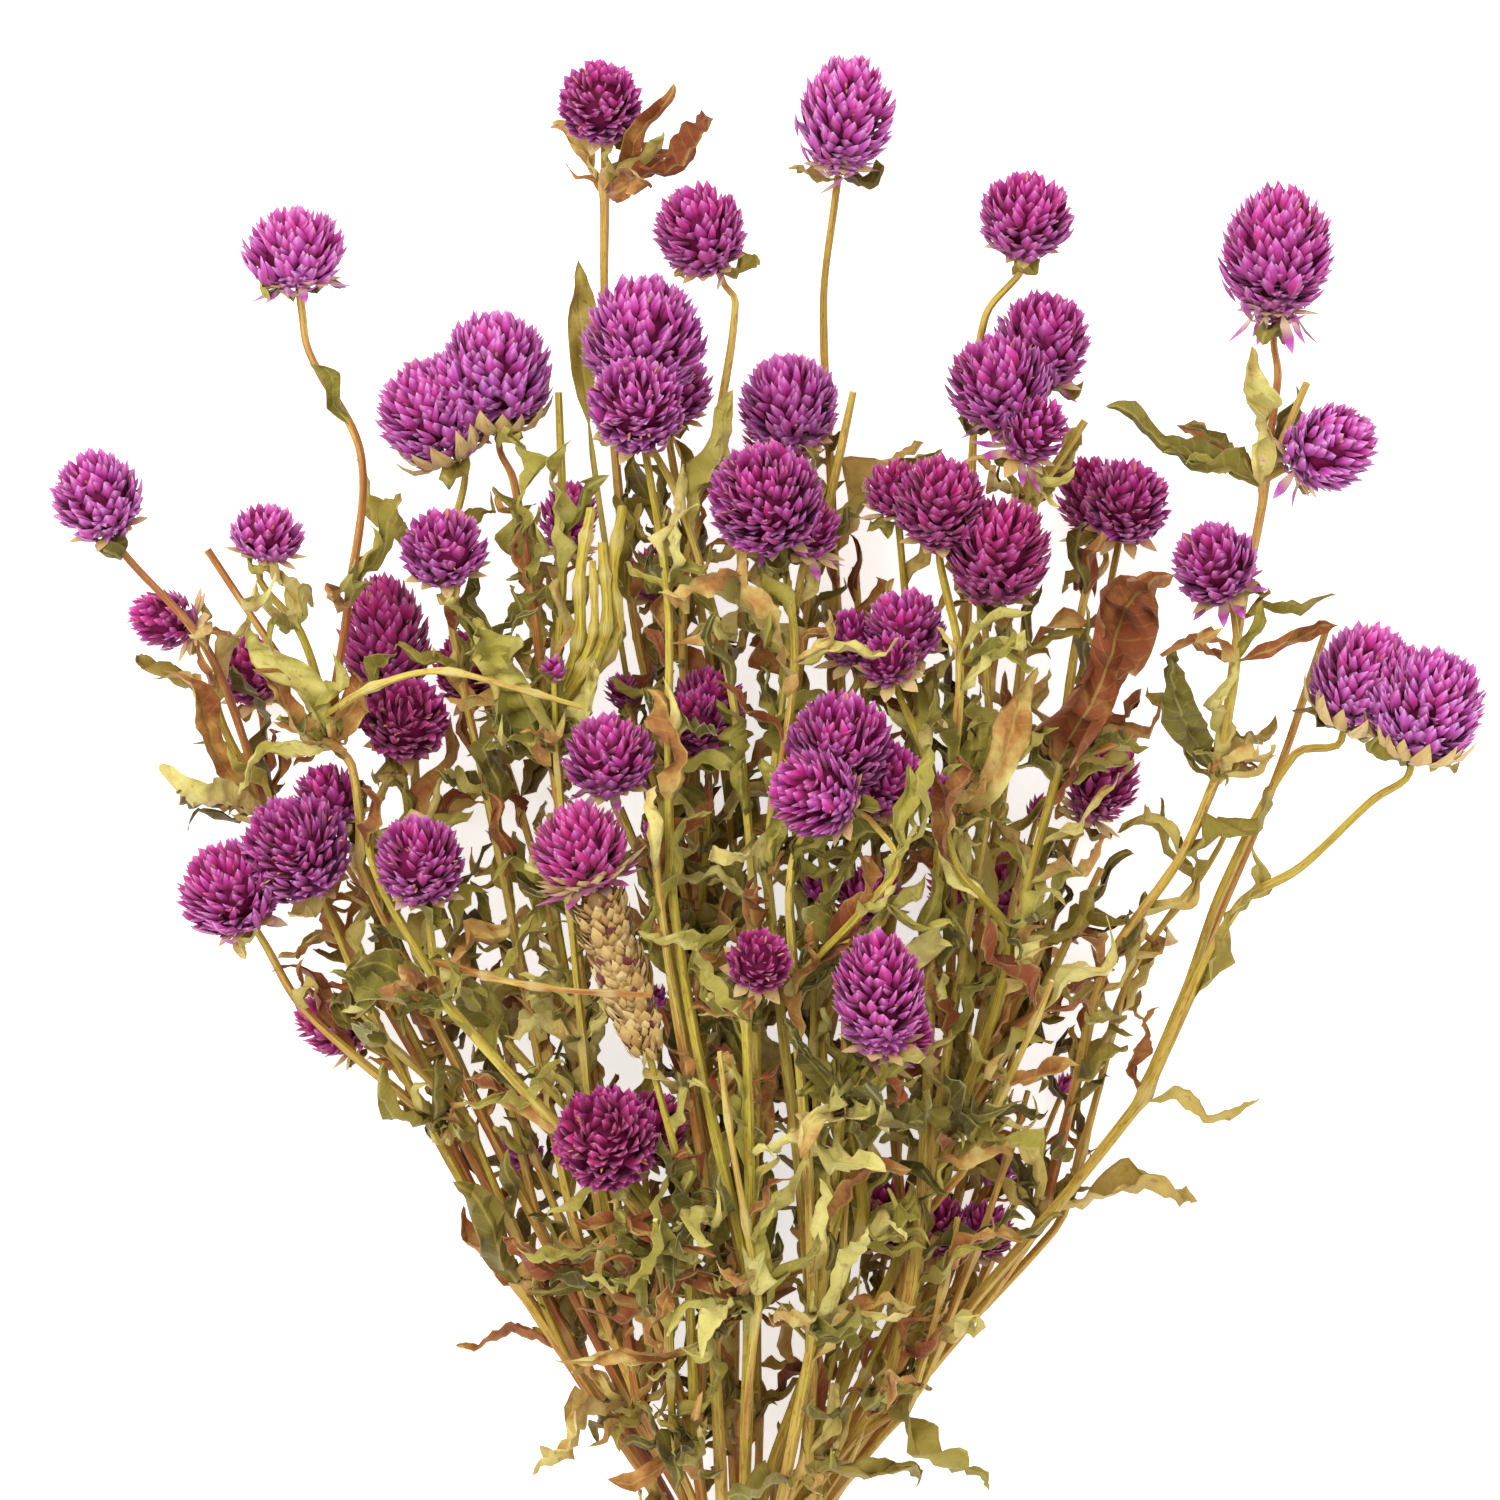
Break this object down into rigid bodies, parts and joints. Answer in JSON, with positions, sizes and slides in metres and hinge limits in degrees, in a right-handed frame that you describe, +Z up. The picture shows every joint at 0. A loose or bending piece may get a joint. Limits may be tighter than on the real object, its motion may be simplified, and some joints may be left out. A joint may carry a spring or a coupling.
{
  "type": "dried globe amaranth bunch",
  "caption": "Tied bunch of dried globe amaranth: round papery magenta flower heads on branched olive stems with crumpled leaves, lying on its back with its cut ends together.",
  "frame": {"origin": "centre of the bounding box in plan, on the surface that the bunch lies on", "axes": "+Y runs along the bunch from its cut ends to its flower heads, +Z points up from the surface, and +X completes the right-handed set"},
  "size_m": [0.3154, 0.4462, 0.0889],
  "materials": {
    "flower_bracts": "satin",
    "stems_and_leaves": "matte",
    "bare_spike": "matte",
    "elastic_band": "matte"
  },
  "bodies": {
    "root": {"stem_left_low": "stems_and_leaves", "stem_left_far": "stems_and_leaves", "stem_left_high": "stems_and_leaves", "stem_left_front": "stems_and_leaves", "stem_left_double": "stems_and_leaves", "stem_spent_spike": "stems_and_leaves", "stem_front_middle": "stems_and_leaves", "stem_back_tall": "stems_and_leaves", "stem_centre_tall": "stems_and_leaves", "stem_centre_front": "stems_and_leaves", "stem_right_front": "stems_and_leaves", "stem_centre_right": "stems_and_leaves", "stem_right_leafy": "stems_and_leaves", "stem_right_high": "stems_and_leaves", "stem_far_right": "stems_and_leaves", "stem_outer_right": "stems_and_leaves", "stem_right_low": "stems_and_leaves", "blooms_left_trio": "flower_bracts", "bloom_left_shy": "flower_bracts", "bloom_far_left": "flower_bracts", "bloom_left_side": "flower_bracts", "bloom_left_back": "flower_bracts", "bloom_lone_left": "flower_bracts", "bloom_left_flat": "flower_bracts", "bloom_left_front": "flower_bracts", "blooms_left_dark": "flower_bracts", "blooms_double_left": "flower_bracts", "bloom_left_fan": "flower_bracts", "bloom_half_hidden": "flower_bracts", "bloom_leaf_shaded": "flower_bracts", "bloom_centre_left": "flower_bracts", "blooms_low_pair": "flower_bracts", "bloom_on_spike": "flower_bracts", "blooms_upper_trio": "flower_bracts", "bloom_small_front": "flower_bracts", "bloom_top_left": "flower_bracts", "bloom_top_middle": "flower_bracts", "blooms_mid_pair": "flower_bracts", "bloom_deep_left": "flower_bracts", "blooms_centre_pair": "flower_bracts", "blooms_top_pair": "flower_bracts", "bloom_top_tall": "flower_bracts", "blooms_centre_trio": "flower_bracts", "blooms_right_trio": "flower_bracts", "blooms_small_trio": "flower_bracts", "blooms_front_pair": "flower_bracts", "bloom_behind_front": "flower_bracts", "blooms_right_pair": "flower_bracts", "bloom_right_shaded": "flower_bracts", "blooms_upper_right": "flower_bracts", "bloom_upper_right": "flower_bracts", "bloom_big_right": "flower_bracts", "bloom_right_side": "flower_bracts", "bloom_right_fan": "flower_bracts", "blooms_double_right": "flower_bracts", "blooms_deep_pair": "flower_bracts", "blooms_low_trio": "flower_bracts", "spent_spike": "bare_spike", "elastic_band": "elastic_band"}
  },
  "joints": []
}
